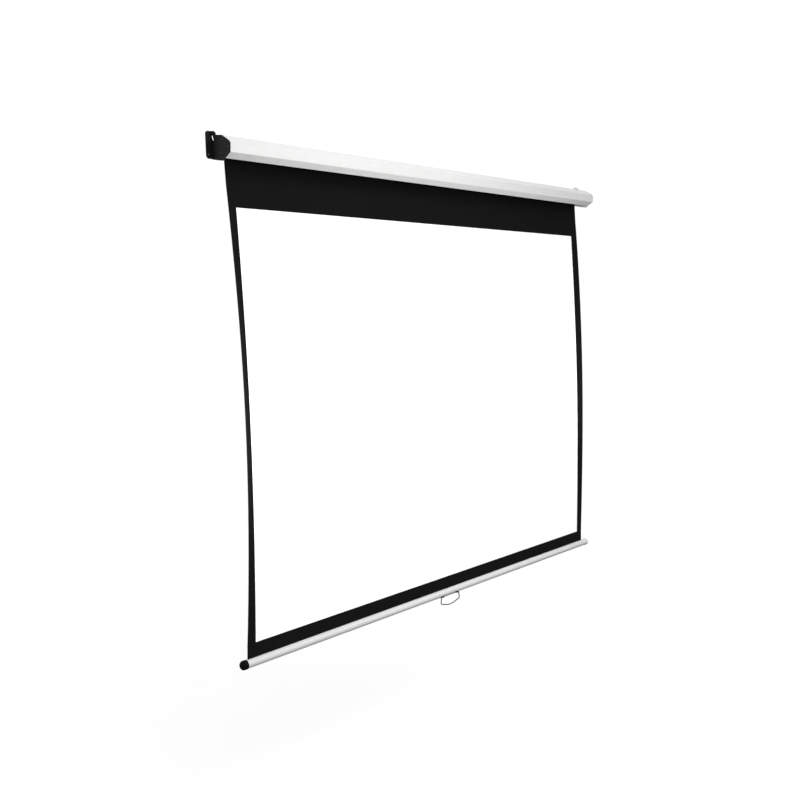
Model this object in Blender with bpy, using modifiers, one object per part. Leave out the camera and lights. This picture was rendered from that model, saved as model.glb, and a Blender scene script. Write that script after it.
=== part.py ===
"""Pull down projector screen: folded wall case, spring roller, hanging fabric and weight bar.

Metres, +Z up. X runs along the case, the wall is the plane Y = 0 and the front faces -Y.
The origin is on the flat back of the case, halfway along it. Outlines seen from the side are (y, z).
"""
import math

import bmesh
import bpy
from mathutils import Matrix

GAP = 0.0003

# Case, folded from one sheet and seen from the side
CAP_MARGIN = 0.034
CAP_WALL = 0.003
SHELL_WALL = 0.001
FOLD_RADIUS = 0.002
BACK_LOW_Z = -0.018
BACK_TOP_Z = 0.008
RIDGE = (-0.031, 0.054)
BROW = (-0.067, 0.0475)
SHOULDER = (-0.109, 0.0195)
CHIN = (-0.110, -0.014)
LIP = (-0.074, -0.0295)
HEM = 0.005
HEM_LEAN = 0.00175

# End caps with their wall ears, seen from the side
CAP_BACK_Y = -0.0005
CAP_CORNER = 0.005
CAP_FOOT = ((-0.011, -0.0245), (-0.046, -0.0325), (-0.0745, -0.0375), (-0.0815, -0.029))
CAP_FRONT = ((-0.1118, 0.0165), (-0.1052, 0.0240), (-0.067, 0.0476), (-0.0325, 0.0539))
EAR_TOP_Z = 0.071
EAR_EDGE = ((-0.0305, 0.0550), (-0.0285, 0.0625), (-0.0185, 0.0690), (-0.004, 0.071))
EAR_SLOT = ((-0.0100, 0.0530), (-0.0160, 0.0400))
EAR_SLOT_HALF = 0.0038
FLANGE_REACH = 0.0195
FLANGE_WALL = 0.004
FLANGE_LOW_Z = -0.021
FLANGE_CORNER = 0.010
WALL_HOLE_RADIUS = 0.0019
WALL_HOLE_Z = -0.006
CUT_MARGIN = 0.001
SPIGOT_LENGTH = 0.008
SPIGOT_WALL = 0.002
SPIGOT_SHARE = 0.75

# Roller brackets behind the caps
BRACKET_WALL = 0.0025
BRACKET_FOOT_Z = -0.005
BRACKET_LOBE = ((-0.048, -0.020), (-0.042, -0.005))
TAB_LENGTH = 0.014
TAB_SHARE = 0.25
SCREW_SPOTS = ((-0.064, 0.033), (-0.057, -0.011), (-0.096, 0.002))
SCREW_RADIUS = 0.00175
SCREW_HEAD_RADIUS = 0.004
SCREW_HEAD_HEIGHT = 0.0022
SCREW_DOME_START = 30
SCREW_TIP = 0.002

# Fabric and weight bar
FABRIC_Y = -0.021
FABRIC_WIDTH = 2.108
FABRIC_WALL = 0.00045
BAR_RADIUS = 0.0155
BAR_WALL = 0.0015
BAR_DOWN_Z = -1.7635
BAR_UP_Z = -0.048
BAR_MARGIN = 0.0405
BAR_SHIFT = 0.0105
BAR_CAP_SLEEVE = 0.0115
BAR_CAP_DOME = 0.014
BAR_CAP_WALL = 0.00095
BAR_SLOT_HALF = 0.0008
HEM_ROD_RADIUS = 0.003
BOW = 0.0255
BOW_TOP_Z = -0.12
BOW_LOW_Z = -1.73
CURL_WIDTH = 0.054
LEFT_CURL = math.radians(42)
RIGHT_CURL = math.radians(10)
FABRIC_COLUMNS = 16
FABRIC_ROWS = 22

# Roller and spring motor
ROLLER_TURNS = 11
WRAPS_LEFT = 2
ROLLER_AXIS_Z = 0.018
TUBE_WALL = 0.0015
TUBE_MARGIN = 0.0025
PLUG_DEPTH = 0.030
PLUG_FLANGE = 0.002
IDLE_PIN_RADIUS = 0.004
IDLE_NECK_RADIUS = 0.005
IDLE_HEAD_RADIUS = 0.008
IDLE_HEAD = 0.002
IDLE_PIN_DEPTH = 0.019
BUSH_WALL = 0.002
BUSH_LENGTH = 0.023
SPINDLE_RADIUS = 0.005
SPINDLE_TAIL = 0.010
BLADE_WALL = 0.004
BLADE_HEIGHT = 0.009
BLADE_ROOT = 0.010
BLADE_END_GAP = 0.0017
PAWL_WALL = 0.003
PAWL_PIN_SPOT = 0.015
PAWL_PIN_ANGLE = math.radians(135)
PAWL_PIN_RADIUS = 0.0015
PAWL_PIN_DEPTH = 0.006
PAWL_PIN_HEAD = 0.0025
PAWL_PIN_HEAD_WALL = 0.001
PAWL_HUB_RADIUS = 0.0032
PAWL_LENGTH = 0.012
PAWL_NOSE_HALF = 0.0012
RATCHET_RADIUS = 0.0085
RATCHET_ROOT = 0.0062
RATCHET_RAMP = (math.radians(130), math.radians(165))
RATCHET_STEP = math.radians(190)
SOCKET_BOSS_RADIUS = 0.009
SOCKET_DEPTH = 0.009
SOCKET_BASE = 0.002
SOCKET_BASE_HALF = 0.021
SOCKET_SCREW_SPOT = 0.015
SPRING_RADIUS = 0.010
SPRING_WIRE = 0.0012
SPRING_CURLS = 40
SPRING_POINTS = 8
SPRING_LENGTH = 0.405
ANCHOR_RADIUS = 0.014
ANCHOR_MARGIN = 0.0065
ANCHOR_LENGTH = 0.015
DRIVE_LENGTH = 0.015

# Handle and its bracket under the bar
STRIP_WALL = 0.001
STRIP_START = math.radians(302)
PIVOT_ANGLE = math.radians(209)
BARREL_TURN = math.radians(290)
BARREL_HALF = 0.051
BARREL_INNER_X = 0.040
BARREL_CUT_RADIUS = 0.0048
RIVET_ANGLE = math.radians(284)
RIVET_SPOT = 0.033
RIVET_RADIUS = 0.0015
RIVET_HEAD_RADIUS = 0.003
RIVET_HEAD = 0.0012
WIRE_RADIUS = 0.0022
HANDLE_END_X = 0.0385
HANDLE_TOP_X = 0.0565
HANDLE_WIDE_X = 0.061
HANDLE_WIDE_DROP = 0.029
HANDLE_DROP = 0.0445
HANDLE_BENDS = (0.0045, 0.008, 0.090)

# Derived sizes
FABRIC_HALF = FABRIC_WIDTH / 2
CAP_FACE_X = FABRIC_HALF + CAP_MARGIN
CAP_MIDDLE_X = CAP_FACE_X - CAP_WALL / 2
BAR_HALF = FABRIC_HALF + BAR_MARGIN - BAR_CAP_DOME
TRAVEL = BAR_UP_Z - BAR_DOWN_Z
MEAN_WINDING = TRAVEL / (2 * math.pi * ROLLER_TURNS)
TUBE_RADIUS = MEAN_WINDING - (ROLLER_TURNS / 2 + WRAPS_LEFT) * FABRIC_WALL
TUBE_BORE = TUBE_RADIUS - TUBE_WALL
WRAP_RADIUS = TUBE_RADIUS + WRAPS_LEFT * FABRIC_WALL - GAP
ROLLER_AXIS_Y = FABRIC_Y - TUBE_RADIUS - (WRAPS_LEFT + 0.5) * FABRIC_WALL
TUBE_HALF = FABRIC_HALF + TUBE_MARGIN
FLANGE_X = TUBE_HALF + GAP + PLUG_FLANGE
SHELL_HALF = CAP_FACE_X - CAP_WALL - GAP
SPIGOT_END_X = CAP_FACE_X - CAP_WALL - SPIGOT_LENGTH
BRACKET_OUTER_X = SPIGOT_END_X - GAP
BRACKET_INNER_X = BRACKET_OUTER_X - BRACKET_WALL
SCREW_HOLE = SCREW_RADIUS + GAP
SCREW_DEPTH = 2 * CAP_WALL + BRACKET_WALL
BLADE_END_X = BRACKET_INNER_X - BLADE_END_GAP
SOCKET_INNER_X = BRACKET_INNER_X - SOCKET_DEPTH
ANCHOR_FACE_X = TUBE_HALF - PLUG_DEPTH - ANCHOR_MARGIN - ANCHOR_LENGTH
DRIVE_FACE_X = ANCHOR_FACE_X - SPRING_LENGTH
SPINDLE_INNER_X = DRIVE_FACE_X - DRIVE_LENGTH - SPINDLE_TAIL
PAWL_X = FLANGE_X + GAP
IDLE_PIN_END_X = FLANGE_X - IDLE_PIN_DEPTH
BUSH_INNER_X = FLANGE_X - BUSH_LENGTH
STRIP_RADIUS = BAR_RADIUS + GAP + STRIP_WALL / 2
BARREL_RADIUS = WIRE_RADIUS + GAP + STRIP_WALL / 2
PIVOT_Y = FABRIC_Y + (STRIP_RADIUS + BARREL_RADIUS) * math.cos(PIVOT_ANGLE)
PIVOT_Z = BAR_DOWN_Z + (STRIP_RADIUS + BARREL_RADIUS) * math.sin(PIVOT_ANGLE)
FABRIC_LOW_Z = BAR_DOWN_Z + BAR_RADIUS - BAR_WALL

# Local axes of a side outline: first coordinate to Y, second to Z, thickness to X
SIDE_AXES = Matrix(((0, 0, 1, 0), (1, 0, 0, 0), (0, 1, 0, 0), (0, 0, 0, 1)))
# Local axes of an outline seen from the front: first coordinate to X, second to Z
FRONT_AXES = Matrix(((1, 0, 0, 0), (0, 0, -1, 0), (0, 1, 0, 0), (0, 0, 0, 1)))
ALONG_X = (0, math.pi / 2, 0)
AGAINST_X = (0, -math.pi / 2, 0)
ACROSS_Y = (math.pi / 2, 0, 0)

FINISHES = {
    "case_paint": ((0.80, 0.80, 0.79), 0.45, 0.0),
    "black_plastic": ((0.012, 0.012, 0.013), 0.5, 0.0),
    "pale_plastic": ((0.68, 0.68, 0.67), 0.5, 0.0),
    "zinc_steel": ((0.45, 0.45, 0.46), 0.4, 1.0),
    "dark_steel": ((0.10, 0.10, 0.10), 0.4, 1.0),
    "spring_steel": ((0.25, 0.25, 0.26), 0.35, 1.0),
    "tube_steel": ((0.55, 0.55, 0.55), 0.45, 1.0),
    "bush_plastic": ((0.70, 0.70, 0.68), 0.5, 0.0),
    "screen_cloth": ((0.85, 0.85, 0.85), 0.9, 0.0),
    "black_cloth": ((0.01, 0.01, 0.01), 0.9, 0.0),
    "bar_paint": ((0.74, 0.74, 0.73), 0.4, 0.0),
    "wire_steel": ((0.20, 0.20, 0.20), 0.35, 1.0),
}


def clear_scene():
    """Remove whatever the file holds."""
    for item in list(bpy.data.objects):
        bpy.data.objects.remove(item, do_unlink=True)


def new_collection(name):
    """Make a collection under the scene."""
    group = bpy.data.collections.new(name)
    bpy.context.scene.collection.children.link(group)
    return group


def new_material(name):
    """Make a plain surface from the table of finishes."""
    colour, roughness, metallic = FINISHES[name]
    surface = bpy.data.materials.new(name)
    surface.use_nodes = True
    shader = surface.node_tree.nodes["Principled BSDF"]
    shader.inputs["Base Color"].default_value = (*colour, 1.0)
    shader.inputs["Roughness"].default_value = roughness
    shader.inputs["Metallic"].default_value = metallic
    return surface


clear_scene()
PARTS = new_collection("pull_down_projector_screen")
CUTTERS = new_collection("cutters")
SURFACES = {name: new_material(name) for name in FINISHES}


def add_part(name, mesh, finish):
    """Put a mesh or curve among the parts under its own name."""
    part = bpy.data.objects.new(name, mesh)
    mesh.name = name
    mesh.materials.append(SURFACES[finish])
    PARTS.objects.link(part)
    return part


def as_tool(part):
    """Turn a part into a cutter or joining body, which is not built itself."""
    PARTS.objects.unlink(part)
    CUTTERS.objects.link(part)
    part.hide_render = True
    part.display_type = "WIRE"
    return part


def evaluated_mesh(item):
    """Return the mesh of an object with its modifiers applied."""
    depsgraph = bpy.context.evaluated_depsgraph_get()
    depsgraph.update()
    return bpy.data.meshes.new_from_object(item.evaluated_get(depsgraph))


def combine(part, tool, operation):
    """Cut or join a part with another body."""
    step = part.modifiers.new(operation.lower(), "BOOLEAN")
    step.operation = operation
    step.solver = "EXACT"
    step.object = as_tool(tool)


def cut(part, tool):
    combine(part, tool, "DIFFERENCE")


def join(part, tool):
    combine(part, tool, "UNION")


def bake(part, sharp_degrees=35):
    """Apply the modifiers and shade round faces smooth between sharp edges."""
    mesh = evaluated_mesh(part)
    part.modifiers.clear()
    part.data = mesh
    mesh.name = part.name
    mesh.shade_smooth()
    mesh.set_sharp_from_angle(angle=math.radians(sharp_degrees))
    return part


def circle_points(radius, steps, centre=(0.0, 0.0)):
    """Points round a circle."""
    turns = [2 * math.pi * index / steps for index in range(steps)]
    return [(centre[0] + radius * math.cos(a), centre[1] + radius * math.sin(a)) for a in turns]


def arc_points(centre, radius, start, end, steps):
    """Points along an arc from the start angle to the end angle."""
    angles = [start + (end - start) * index / steps for index in range(steps + 1)]
    return [(centre[0] + radius * math.cos(a), centre[1] + radius * math.sin(a)) for a in angles]


def corner_points(before, corner, after, radius, steps):
    """Points of a round corner between two straight runs, in two or three dimensions."""
    back = [b - c for b, c in zip(before, corner)]
    ahead = [a - c for a, c in zip(after, corner)]
    back_length = math.hypot(*back)
    ahead_length = math.hypot(*ahead)
    back = [value / back_length for value in back]
    ahead = [value / ahead_length for value in ahead]
    opening = math.acos(max(-1.0, min(1.0, sum(b * a for b, a in zip(back, ahead)))))
    if opening > math.pi - 0.01:
        return [tuple(corner)]
    reach = min(radius / math.tan(opening / 2), 0.49 * back_length, 0.49 * ahead_length)
    true_radius = reach * math.tan(opening / 2)
    middle = [b + a for b, a in zip(back, ahead)]
    middle_length = math.hypot(*middle)
    middle = [value / middle_length for value in middle]
    centre = [c + m * true_radius / math.sin(opening / 2) for c, m in zip(corner, middle)]
    start = [c + b * reach - o for c, b, o in zip(corner, back, centre)]
    end = [c + a * reach - o for c, a, o in zip(corner, ahead, centre)]
    sweep = math.pi - opening
    points = []
    for index in range(steps + 1):
        share = index / steps
        first = math.sin((1 - share) * sweep) / math.sin(sweep)
        last = math.sin(share * sweep) / math.sin(sweep)
        points.append(tuple(o + first * s + last * e for o, s, e in zip(centre, start, end)))
    return points


def rounded(points, radius, steps=4, closed=False):
    """Round the corners of a run of points."""
    count = len(points)
    result = []
    for index, corner in enumerate(points):
        if not closed and index in (0, count - 1):
            result.append(tuple(corner))
            continue
        before = points[index - 1]
        after = points[(index + 1) % count]
        result += corner_points(before, corner, after, radius, steps)
    return result


def inset(path, distance):
    """Shift an open side outline to its left, which is into the case."""
    normals = []
    for (y0, z0), (y1, z1) in zip(path, path[1:]):
        length = math.hypot(y1 - y0, z1 - z0)
        normals.append((-(z1 - z0) / length, (y1 - y0) / length))
    result = []
    for index, (y, z) in enumerate(path):
        first = normals[max(index - 1, 0)]
        last = normals[min(index, len(normals) - 1)]
        scale = distance / (1 + first[0] * last[0] + first[1] * last[1])
        result.append((y + (first[0] + last[0]) * scale, z + (first[1] + last[1]) * scale))
    return result


def plate(name, outlines, wall, axes, finish):
    """Extrude closed outlines: the first is the rim and the others are holes."""
    curve = bpy.data.curves.new(name + "_outline", "CURVE")
    curve.dimensions = "2D"
    curve.fill_mode = "BOTH"
    curve.extrude = wall / 2
    for outline in outlines:
        spline = curve.splines.new("POLY")
        spline.points.add(len(outline) - 1)
        for point, (u, v) in zip(spline.points, outline):
            point.co = (u, v, 0.0, 1.0)
        spline.use_cyclic_u = True
    drawing = bpy.data.objects.new(name + "_drawing", curve)
    CUTTERS.objects.link(drawing)
    mesh = evaluated_mesh(drawing)
    bpy.data.objects.remove(drawing, do_unlink=True)
    bpy.data.curves.remove(curve)
    bm = bmesh.new()
    bm.from_mesh(mesh)
    bmesh.ops.remove_doubles(bm, verts=bm.verts, dist=0.00001)
    bmesh.ops.recalc_face_normals(bm, faces=bm.faces)
    bm.to_mesh(mesh)
    bm.free()
    part = add_part(name, mesh, finish)
    part.matrix_world = axes
    return part


def side_plate(name, outlines, x_first, x_last, finish):
    """Plate whose outline is seen from the side, between two X positions."""
    axes = Matrix.Translation(((x_first + x_last) / 2, 0, 0)) @ SIDE_AXES
    return plate(name, outlines, abs(x_last - x_first), axes, finish)


def front_plate(name, outlines, y_first, y_last, finish):
    """Plate whose outline is seen from the front, between two Y positions."""
    axes = Matrix.Translation((0, (y_first + y_last) / 2, 0)) @ FRONT_AXES
    return plate(name, outlines, abs(y_last - y_first), axes, finish)


def folded_sheet(name, path, x_first, x_last, wall, offset, finish):
    """Sheet folded along an open side outline; offset -1 puts its wall on the left of the path."""
    bm = bmesh.new()
    low, high = sorted((x_first, x_last))
    verts = [bm.verts.new((low, y, z)) for y, z in path]
    edges = [bm.edges.new(pair) for pair in zip(verts, verts[1:])]
    swept = bmesh.ops.extrude_edge_only(bm, edges=edges)["geom"]
    moved = [item for item in swept if isinstance(item, bmesh.types.BMVert)]
    bmesh.ops.translate(bm, verts=moved, vec=(high - low, 0, 0))
    bm.normal_update()
    (y0, z0), (y1, z1) = path[0], path[1]
    normal = verts[0].link_faces[0].normal
    if normal.y * (z1 - z0) - normal.z * (y1 - y0) < 0:
        bmesh.ops.reverse_faces(bm, faces=bm.faces[:])
    mesh = bpy.data.meshes.new(name)
    bm.to_mesh(mesh)
    bm.free()
    part = add_part(name, mesh, finish)
    step = part.modifiers.new("wall", "SOLIDIFY")
    step.thickness = wall
    step.offset = offset
    step.use_even_offset = True
    return part


def turned(name, profile, location, rotation, finish, segments=32, ring=False):
    """Turn a profile of (radius, height) points, listed from the top down its outer side."""
    bm = bmesh.new()
    verts = [bm.verts.new((radius, 0, height)) for radius, height in profile]
    for pair in zip(verts, verts[1:]):
        bm.edges.new(pair)
    if ring:
        bm.edges.new((verts[-1], verts[0]))
    mesh = bpy.data.meshes.new(name)
    bm.to_mesh(mesh)
    bm.free()
    part = add_part(name, mesh, finish)
    part.location = location
    part.rotation_euler = rotation
    step = part.modifiers.new("turn", "SCREW")
    step.axis = "Z"
    step.steps = segments
    step.render_steps = segments
    step.use_merge_vertices = True
    step.merge_threshold = 0.00001
    return part


def tube(name, bore, radius, x_first, x_last, finish):
    """Straight tube on the roller's axis."""
    low, high = sorted((x_first, x_last))
    profile = [(bore, high), (radius, high), (radius, low), (bore, low)]
    return turned(name, profile, (0, ROLLER_AXIS_Y, ROLLER_AXIS_Z), ALONG_X, finish, 40, ring=True)


def block(name, centre, size, finish):
    """Box given by its centre and its three sizes."""
    bm = bmesh.new()
    bmesh.ops.create_cube(bm, size=1.0)
    bmesh.ops.scale(bm, vec=size, verts=bm.verts)
    mesh = bpy.data.meshes.new(name)
    bm.to_mesh(mesh)
    bm.free()
    part = add_part(name, mesh, finish)
    part.location = centre
    return part


def drill(name, centre, radius, length, rotation):
    """Round cutter centred on a point; unrotated it runs along Z."""
    bm = bmesh.new()
    bmesh.ops.create_cone(
        bm, cap_ends=True, segments=24, radius1=radius, radius2=radius, depth=length
    )
    mesh = bpy.data.meshes.new(name)
    bm.to_mesh(mesh)
    bm.free()
    part = add_part(name, mesh, "dark_steel")
    part.location = centre
    part.rotation_euler = rotation
    return part


def wire(name, points, radius, location, finish, resolution):
    """Round wire along a run of points."""
    curve = bpy.data.curves.new(name, "CURVE")
    curve.dimensions = "3D"
    curve.bevel_depth = radius
    curve.bevel_resolution = resolution
    curve.use_fill_caps = True
    spline = curve.splines.new("POLY")
    spline.points.add(len(points) - 1)
    for point, position in zip(spline.points, points):
        point.co = (*position, 1.0)
    part = add_part(name, curve, finish)
    part.location = location
    return part


def joint_frame(name, location):
    """Empty on a joint's axis that the moving pieces hang from."""
    frame = bpy.data.objects.new(name, None)
    frame.empty_display_size = 0.02
    frame.location = location
    PARTS.objects.link(frame)
    return frame


def carry(frame, parts):
    """Parent pieces to a joint's empty where they stand."""
    bpy.context.view_layer.update()
    for part in parts:
        part.parent = frame
        part.matrix_parent_inverse = frame.matrix_world.inverted()


def shell_corners():
    """Fold lines of the case from the foot of its back wall to its front lip."""
    return [(0.0, BACK_LOW_Z), (0.0, BACK_TOP_Z), RIDGE, BROW, SHOULDER, CHIN, LIP]


def make_case_shell():
    """Folded sheet with its mouth open underneath and a hem turned up at the front lip."""
    hem = (LIP[0] + HEM_LEAN, LIP[1] + HEM)
    path = rounded(shell_corners() + [hem], FOLD_RADIUS)
    return bake(folded_sheet("case_shell", path, -SHELL_HALF, SHELL_HALF, SHELL_WALL, -1, "case_paint"))


def cap_outline():
    """Rim of an end cap with its wall ear, starting at the foot against the wall."""
    foot = [(CAP_BACK_Y, FLANGE_LOW_Z), *CAP_FOOT]
    return foot + [CHIN, *CAP_FRONT, *EAR_EDGE, (CAP_BACK_Y, EAR_TOP_Z)]


def make_wall_flange(name, side, finish):
    """Plate against the wall beside the cap, with round outer corners."""
    root = side * CAP_MIDDLE_X
    far = side * (CAP_FACE_X + FLANGE_REACH)
    corners = [(root, FLANGE_LOW_Z), (far, FLANGE_LOW_Z), (far, EAR_TOP_Z), (root, EAR_TOP_Z)]
    outline = [corners[0]]
    outline += corner_points(*corners[0:3], FLANGE_CORNER, 5)
    outline += corner_points(*corners[1:4], FLANGE_CORNER, 5)
    outline.append(corners[3])
    return front_plate(name + "_flange", [outline], 0.0, -FLANGE_WALL, finish)


def make_spigot(name, side, finish):
    """Collar of the cap that reaches into the folded case."""
    corners = inset(shell_corners(), SHELL_WALL + GAP)
    corners[-1] = blend_points(corners[-2], corners[-1], SPIGOT_SHARE)
    path = rounded(corners, FOLD_RADIUS + SPIGOT_WALL)
    return folded_sheet(
        name + "_spigot", path, side * CAP_MIDDLE_X, side * SPIGOT_END_X, SPIGOT_WALL, -1, finish
    )


def ear_slot_outline():
    """Leaning slot with round ends in the ear."""
    top, low = EAR_SLOT
    lean = math.atan2(top[1] - low[1], top[0] - low[0])
    ahead = arc_points(top, EAR_SLOT_HALF, lean - math.pi / 2, lean + math.pi / 2, 8)
    behind = arc_points(low, EAR_SLOT_HALF, lean + math.pi / 2, lean + 3 * math.pi / 2, 8)
    return ahead + behind


def make_end_cap(name, side, finish):
    """Moulded cap: face plate with a slotted ear, wall flange and a spigot inside the case."""
    rim = rounded(cap_outline(), CAP_CORNER, closed=True)
    cap = side_plate(name, [rim], side * CAP_FACE_X, side * (CAP_FACE_X - CAP_WALL), finish)
    join(cap, make_wall_flange(name, side, finish))
    join(cap, make_spigot(name, side, finish))
    slot_first = side * (CAP_FACE_X + CUT_MARGIN)
    slot_last = side * (CAP_FACE_X - CAP_WALL - CUT_MARGIN)
    cut(cap, side_plate(name + "_slot", [ear_slot_outline()], slot_first, slot_last, finish))
    for index, (y, z) in enumerate(SCREW_SPOTS, 1):
        place = (side * CAP_FACE_X, y, z)
        cut(cap, drill(f"{name}_screw_hole_{index}", place, SCREW_HOLE, SCREW_DEPTH, ALONG_X))
    wall_place = (side * (CAP_FACE_X + FLANGE_REACH / 2), -FLANGE_WALL / 2, WALL_HOLE_Z)
    wall_depth = FLANGE_WALL + 2 * CUT_MARGIN
    cut(cap, drill(name + "_wall_hole", wall_place, WALL_HOLE_RADIUS, wall_depth, ACROSS_Y))
    return bake(cap)


def make_end_bracket(name, side, centre_hole):
    """Steel plate behind a cap, with two tabs folded along the inside of the case."""
    inner = inset(shell_corners(), SHELL_WALL + GAP)
    outline = [(inner[0][0], BRACKET_FOOT_Z)] + inner[1:6]
    outline += [(inner[6][0], inner[6][1] + HEM), *BRACKET_LOBE]
    outline = rounded(outline, FOLD_RADIUS + SPIGOT_WALL, steps=3, closed=True)
    holes = [circle_points(SCREW_HOLE, 16, spot) for spot in SCREW_SPOTS] + centre_hole
    outer_x, inner_x = side * BRACKET_OUTER_X, side * BRACKET_INNER_X
    bracket = side_plate(name, [outline, *holes], outer_x, inner_x, "zinc_steel")
    tab_root = (outer_x + inner_x) / 2
    tab_end = side * (BRACKET_INNER_X - TAB_LENGTH)
    for label, first in (("top", 3), ("front", 4)):
        near, far = inset(shell_corners(), SHELL_WALL + 2 * GAP)[first:first + 2]
        path = [blend_points(near, far, TAB_SHARE), blend_points(near, far, 1 - TAB_SHARE)]
        tab_name = f"{name}_{label}_tab"
        join(bracket, folded_sheet(tab_name, path, tab_root, tab_end, BRACKET_WALL, -1, "zinc_steel"))
    return bake(bracket)


def blend_points(first, last, share):
    """Point part of the way from one point to another."""
    return tuple(a + (b - a) * share for a, b in zip(first, last))


def screw(name, tip, seat, spot, side, shank=SCREW_RADIUS, head=SCREW_HEAD_RADIUS):
    """Pan head screw along X: its shank runs from the tip to the seat and its head stands on it."""
    shank_length = abs(seat - tip)
    dome = arc_points((0, 0), 1, math.pi / 2, math.radians(SCREW_DOME_START), 3)
    crown = [(head * r, shank_length + SCREW_HEAD_HEIGHT * h) for r, h in dome[1:]]
    profile = [
        (0, shank_length + SCREW_HEAD_HEIGHT),
        *crown,
        (head, shank_length),
        (shank, shank_length),
        (shank, shank),
        (0, 0),
    ]
    rotation = ALONG_X if side > 0 else AGAINST_X
    return bake(turned(name, profile, (tip, *spot), rotation, "dark_steel", segments=16))


def make_cap_screws(label, side):
    """Three screws through a cap into its bracket."""
    seat = side * (CAP_FACE_X + GAP)
    tip = side * (BRACKET_INNER_X - SCREW_TIP)
    for index, spot in enumerate(SCREW_SPOTS, 1):
        screw(f"{label}_cap_screw_{index}", tip, seat, spot, side)


def make_idle_pin():
    """Stub riveted through the left bracket, with a head on one side and a collar on the other."""
    outer = BRACKET_OUTER_X + GAP
    collar = BRACKET_INNER_X - GAP
    profile = [
        (0, outer + IDLE_HEAD),
        (IDLE_HEAD_RADIUS, outer + IDLE_HEAD),
        (IDLE_HEAD_RADIUS, outer),
        (IDLE_NECK_RADIUS, outer),
        (IDLE_NECK_RADIUS, collar),
        (IDLE_HEAD_RADIUS, collar),
        (IDLE_HEAD_RADIUS, collar - IDLE_HEAD),
        (IDLE_PIN_RADIUS, collar - IDLE_HEAD),
        (IDLE_PIN_RADIUS, IDLE_PIN_END_X),
        (0, IDLE_PIN_END_X),
    ]
    centre = (0, ROLLER_AXIS_Y, ROLLER_AXIS_Z)
    return bake(turned("idle_pin", profile, centre, AGAINST_X, "zinc_steel"))


def make_roller():
    """Tube, fabric turns that stay on it, end plugs and bearing bush."""
    centre = (0, ROLLER_AXIS_Y, ROLLER_AXIS_Z)
    wrap_bore = TUBE_RADIUS + GAP
    bush_bore = IDLE_PIN_RADIUS + GAP
    bush_radius = bush_bore + BUSH_WALL
    spindle_bore = SPINDLE_RADIUS + GAP
    drive_start = DRIVE_FACE_X - DRIVE_LENGTH
    tubes = [
        ("roller_tube", TUBE_BORE, TUBE_RADIUS, -TUBE_HALF, TUBE_HALF, "tube_steel"),
        ("fabric_wrap", wrap_bore, WRAP_RADIUS, -FABRIC_HALF, FABRIC_HALF, "black_cloth"),
        ("left_pin_bush", bush_bore, bush_radius, -FLANGE_X, -BUSH_INNER_X, "bush_plastic"),
        ("spring_drive_plug", spindle_bore, TUBE_BORE - GAP, drive_start, DRIVE_FACE_X, "black_plastic"),
    ]
    pieces = [bake(tube(*sizes)) for sizes in tubes]
    pieces.append(bake(end_plug("roller_left_plug", bush_radius + GAP, AGAINST_X, centre)))
    right_plug = end_plug("roller_right_plug", spindle_bore, ALONG_X, centre)
    pieces.append(right_plug)
    for index in (1, 2):
        place = (FLANGE_X, *pawl_pin_spot(index))
        hole_radius = PAWL_PIN_RADIUS + GAP
        cut(right_plug, drill(f"pawl_hole_{index}", place, hole_radius, 2 * PAWL_PIN_DEPTH, ALONG_X))
        pieces.append(make_pawl_pin(index))
    bake(right_plug)
    return pieces


def end_plug(name, bore, rotation, centre):
    """Plug pressed into the tube, with a flange over the end of the tube."""
    body = TUBE_BORE - GAP
    profile = [
        (bore, FLANGE_X),
        (TUBE_RADIUS, FLANGE_X),
        (TUBE_RADIUS, TUBE_HALF + GAP),
        (body, TUBE_HALF + GAP),
        (body, TUBE_HALF - PLUG_DEPTH),
        (bore, TUBE_HALF - PLUG_DEPTH),
    ]
    return turned(name, profile, centre, rotation, "black_plastic", ring=True)


def pawl_pin_spot(index):
    """Place of a pawl's pin, seen from the side."""
    angle = PAWL_PIN_ANGLE + math.pi * (index - 1)
    return (
        ROLLER_AXIS_Y + PAWL_PIN_SPOT * math.cos(angle),
        ROLLER_AXIS_Z + PAWL_PIN_SPOT * math.sin(angle),
    )


def make_pawl_pin(index):
    """Headed pin that holds a pawl on the flange of the right plug."""
    head_x = PAWL_X + PAWL_WALL + GAP
    profile = [
        (0, head_x + PAWL_PIN_HEAD_WALL),
        (PAWL_PIN_HEAD, head_x + PAWL_PIN_HEAD_WALL),
        (PAWL_PIN_HEAD, head_x),
        (PAWL_PIN_RADIUS, head_x),
        (PAWL_PIN_RADIUS, FLANGE_X - PAWL_PIN_DEPTH + GAP),
        (0, FLANGE_X - PAWL_PIN_DEPTH + GAP),
    ]
    place = (0, *pawl_pin_spot(index))
    return bake(turned(f"pawl_pin_{index}", profile, place, ALONG_X, "zinc_steel", segments=16))


def make_pawl(index):
    """Gravity pawl: a round hub and a straight nose that points down or up at rest."""
    y, z = pawl_pin_spot(index)
    nose_angle = math.radians(270) + math.pi * (index - 1)
    hub = arc_points((0, 0), PAWL_HUB_RADIUS, math.pi / 2, 3 * math.pi / 2, 10)
    nose = [(PAWL_LENGTH, -PAWL_NOSE_HALF), (PAWL_LENGTH, PAWL_NOSE_HALF)]
    outline = [turn_point(point, nose_angle) for point in hub + nose]
    eye = circle_points(PAWL_PIN_RADIUS + GAP, 16)
    axes = Matrix.Translation((PAWL_X + PAWL_WALL / 2, y, z)) @ SIDE_AXES
    return plate(f"pawl_{index}", [outline, eye], PAWL_WALL, axes, "zinc_steel")


def turn_point(point, angle):
    """Turn a flat point about the origin."""
    u, v = point
    return (u * math.cos(angle) - v * math.sin(angle), u * math.sin(angle) + v * math.cos(angle))


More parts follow.
